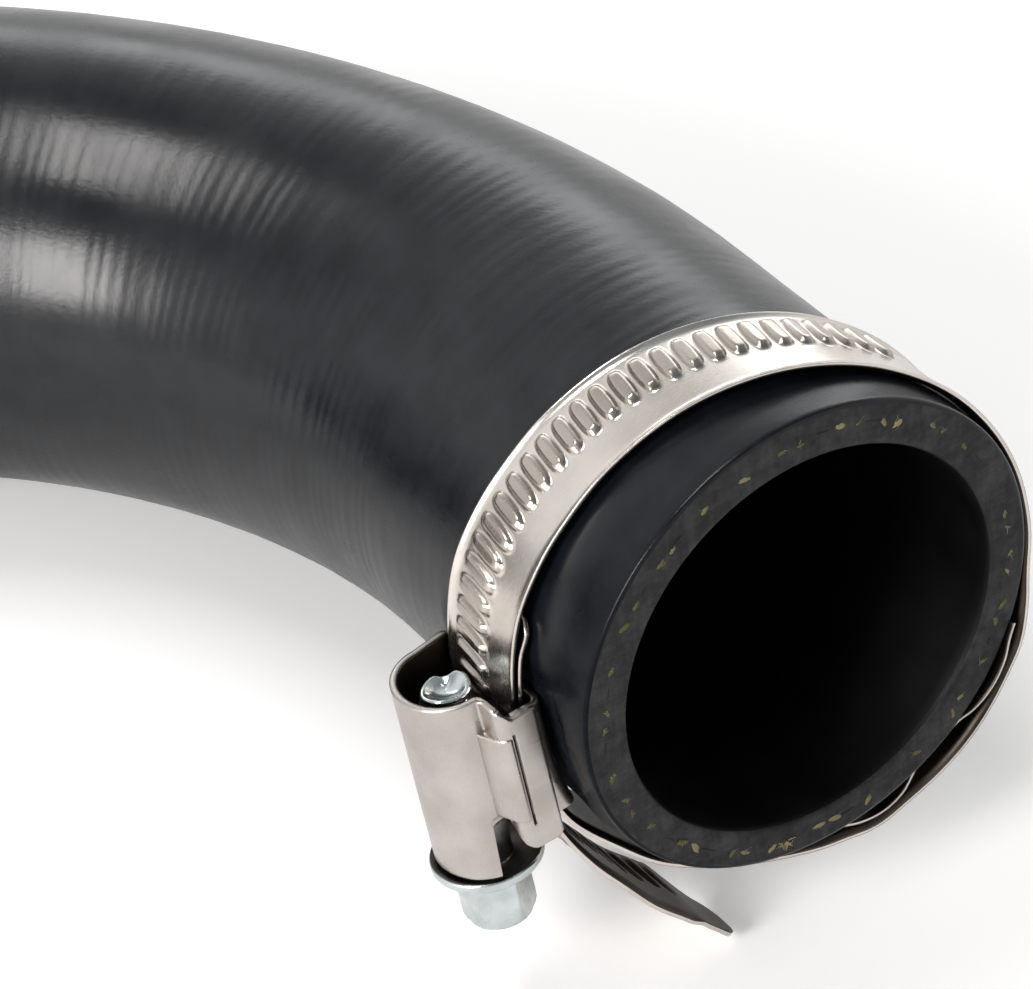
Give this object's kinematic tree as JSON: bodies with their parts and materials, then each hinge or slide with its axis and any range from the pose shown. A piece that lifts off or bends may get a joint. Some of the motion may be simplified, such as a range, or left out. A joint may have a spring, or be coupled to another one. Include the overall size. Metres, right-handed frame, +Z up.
{
  "type": "charge air hose",
  "caption": "Moulded rubber charge air hose with a right-angle bend and, close behind its square-cut end, a worm-drive clamp with a ridged band and a wavy spring insert.",
  "frame": {"origin": "centre of the rectangle that the part covers on the floor, at floor level", "axes": "+Z up, with the part lying on its bend and on the tip of the clamp's tail; the near, clamped end opens towards -Y and the far end towards -X"},
  "size_m": [0.1656, 0.1658, 0.0705],
  "materials": {
    "hose_rubber": "black rubber with a semi-gloss wrapped outside and a matt cut end",
    "clamp_steel": "satin stainless steel strip and sheet",
    "spring_steel": "bright spring steel strip",
    "zinc_plate": "bright blue-white zinc plate"
  },
  "bodies": {
    "hose_with_clamp": {"hose": "hose_rubber", "clamp_band": "clamp_steel", "spring_insert": "spring_steel", "clamp_housing": "clamp_steel"},
    "screw": {"clamp_screw": "zinc_plate"}
  },
  "joints": [
    {"name": "screw_turn", "type": "hinge", "parent": "hose_with_clamp", "child": "screw", "pos_m": [0.02066, -0.06269, 0.03698], "axis": [-0.091, 0.243, 0.9657], "continuous": true}
  ]
}
